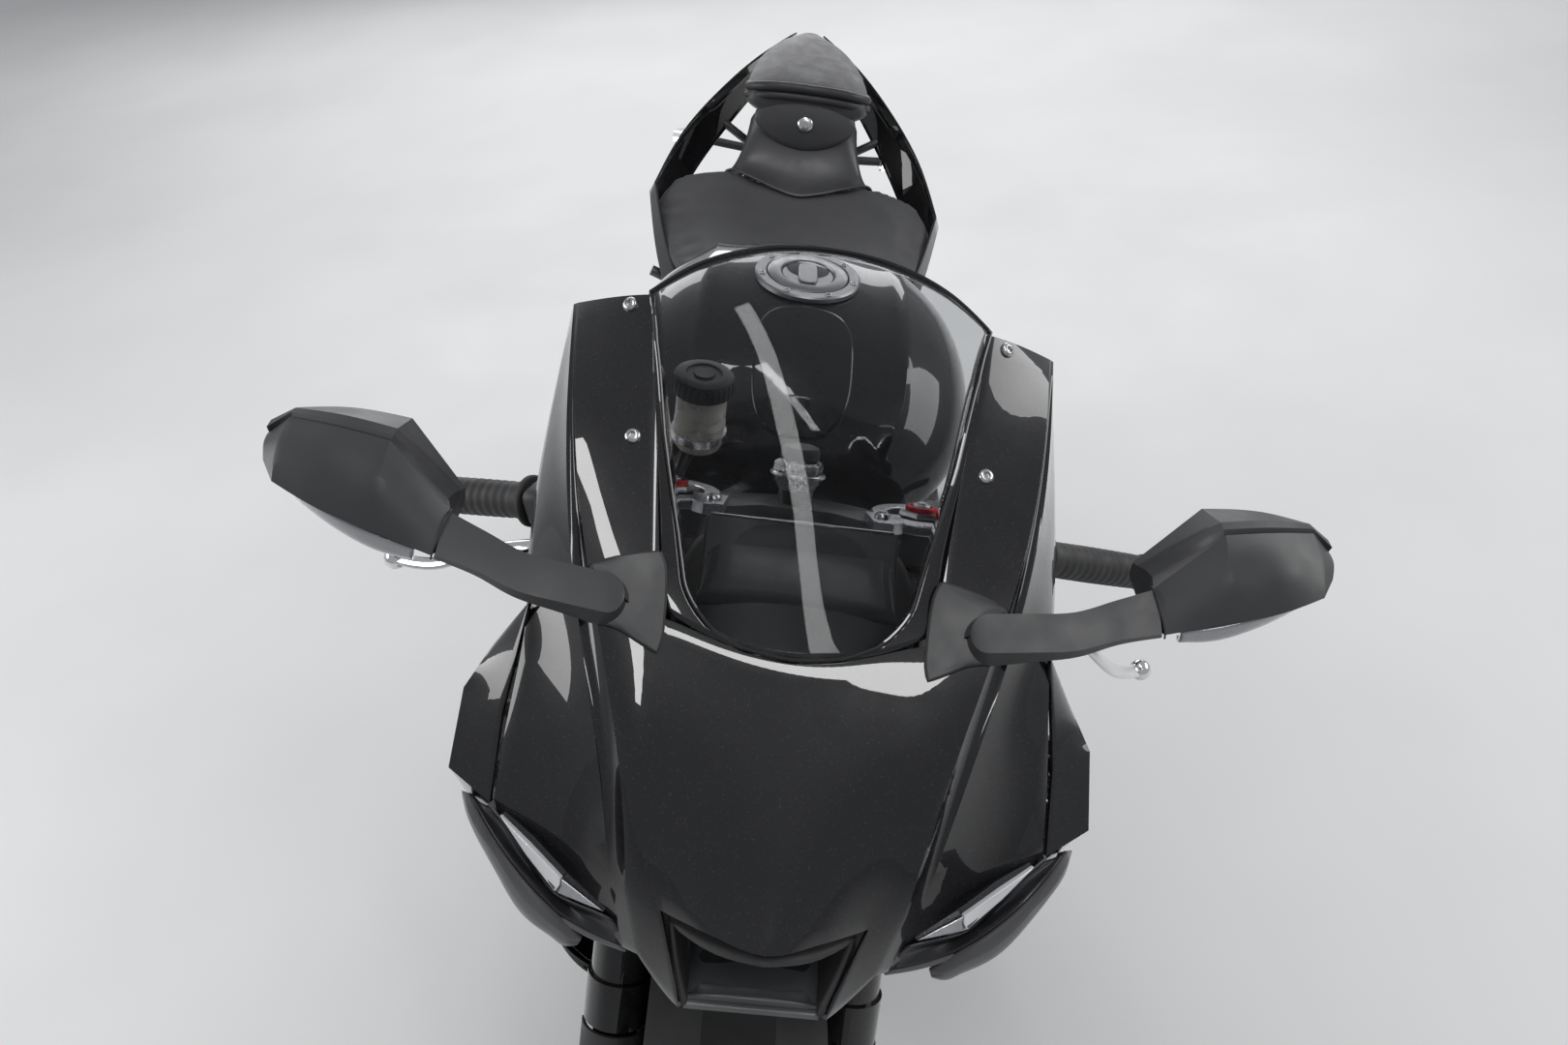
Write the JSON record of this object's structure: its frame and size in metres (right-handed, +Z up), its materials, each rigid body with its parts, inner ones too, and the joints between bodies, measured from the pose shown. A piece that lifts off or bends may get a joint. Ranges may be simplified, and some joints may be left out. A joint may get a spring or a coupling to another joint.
{
  "type": "sport motorcycle",
  "caption": "Full-fairing sport motorcycle on its side stand, with steering front end, turning wheels, folding stand and hinged fuel cap.",
  "frame": {"origin": "middle of the footprint of the leaning bike, on the ground", "axes": "+X forwards along the bike, +Y to the rider's left, the side it leans to, +Z up from the ground"},
  "size_m": [2.0346, 0.7832, 1.1298],
  "materials": {
    "gloss_black": "gloss black paint",
    "matte_black": "moulded black plastic",
    "smoke": "smoked clear sheet",
    "tyre": "black rubber",
    "rubber": "black rubber",
    "cast_black": "black cast wheel",
    "alloy": "brushed alloy",
    "dark_alloy": "dark alloy",
    "black_steel": "black coated steel",
    "steel": "machined steel",
    "titanium": "heat-toned pipe",
    "seat": "dark seat cover",
    "red_lens": "red lens",
    "clear_lens": "clear lens",
    "mirror": "mirror"
  },
  "bodies": {
    "chassis": {"belly_pan": "gloss_black", "drive_chain": "steel", "engine": "dark_alloy", "exhaust_pipes": "titanium", "fairing_stay": "matte_black", "filler_ring": "steel", "footrests": "dark_alloy", "front_sprocket": "steel", "fuel_tank": "gloss_black", "headlamps": "clear_lens", "instrument_panel": "matte_black", "main_frame": "alloy", "mirror_glasses": "mirror", "mirrors": "matte_black", "muffler": "titanium", "nose_cowl": "gloss_black", "nose_duct": "matte_black", "nose_lips": "matte_black", "pillion_footrests": "dark_alloy", "pillion_seat": "seat", "plate_holder": "matte_black", "radiator": "dark_alloy", "rear_axle": "steel", "rear_caliper": "dark_alloy", "rear_indicators": "clear_lens", "rear_shock": "dark_alloy", "rider_seat": "seat", "side_cowl_left": "gloss_black", "side_cowl_right": "gloss_black", "sprocket_cover": "matte_black", "subframe": "dark_alloy", "swingarm": "alloy", "swingarm_pivot": "steel", "tail_centre": "gloss_black", "tail_lamp": "red_lens", "tail_sides": "gloss_black", "windscreen": "smoke"},
    "steering": {"fork": "gloss_black", "upper_yoke": "dark_alloy", "lower_yoke": "dark_alloy", "steering_stem": "steel", "clip_ons": "dark_alloy", "grips": "rubber", "levers": "alloy", "front_mudguard": "matte_black", "front_calipers": "dark_alloy", "front_axle": "steel", "brake_hoses": "rubber", "brake_reservoir": "matte_black"},
    "front_wheel": {"front_wheel_rim": "cast_black", "front_tyre": "tyre", "front_discs": "steel"},
    "rear_wheel": {"rear_wheel_rim": "cast_black", "rear_tyre": "tyre", "rear_disc": "steel", "rear_sprocket": "steel"},
    "stand": {"side_stand": "black_steel"},
    "cap": {"fuel_cap": "steel"}
  },
  "joints": [
    {"name": "steering", "type": "hinge", "parent": "chassis", "child": "steering", "pos_m": [0.44088, -0.02764, 0.83142], "axis": [-0.4067, 0.1899, 0.8936], "range_deg": [-24, 24]},
    {"name": "front_wheel_spin", "type": "hinge", "parent": "steering", "child": "front_wheel", "pos_m": [0.71732, -0.14171, 0.29475], "axis": [0, 0.9781, -0.2079], "continuous": true},
    {"name": "rear_wheel_spin", "type": "hinge", "parent": "chassis", "child": "rear_wheel", "pos_m": [-0.68768, -0.13739, 0.31508], "axis": [0, 0.9781, -0.2079], "continuous": true},
    {"name": "stand_fold", "type": "hinge", "parent": "chassis", "child": "stand", "pos_m": [-0.06317, 0.01248, 0.22176], "axis": [0.043, 0.9771, 0.2086], "range_deg": [0, 98]},
    {"name": "cap_lid", "type": "hinge", "parent": "chassis", "child": "cap", "pos_m": [0.16532, 0.00812, 0.99967], "axis": [0, 0.9781, -0.2079], "range_deg": [0, 100]}
  ]
}
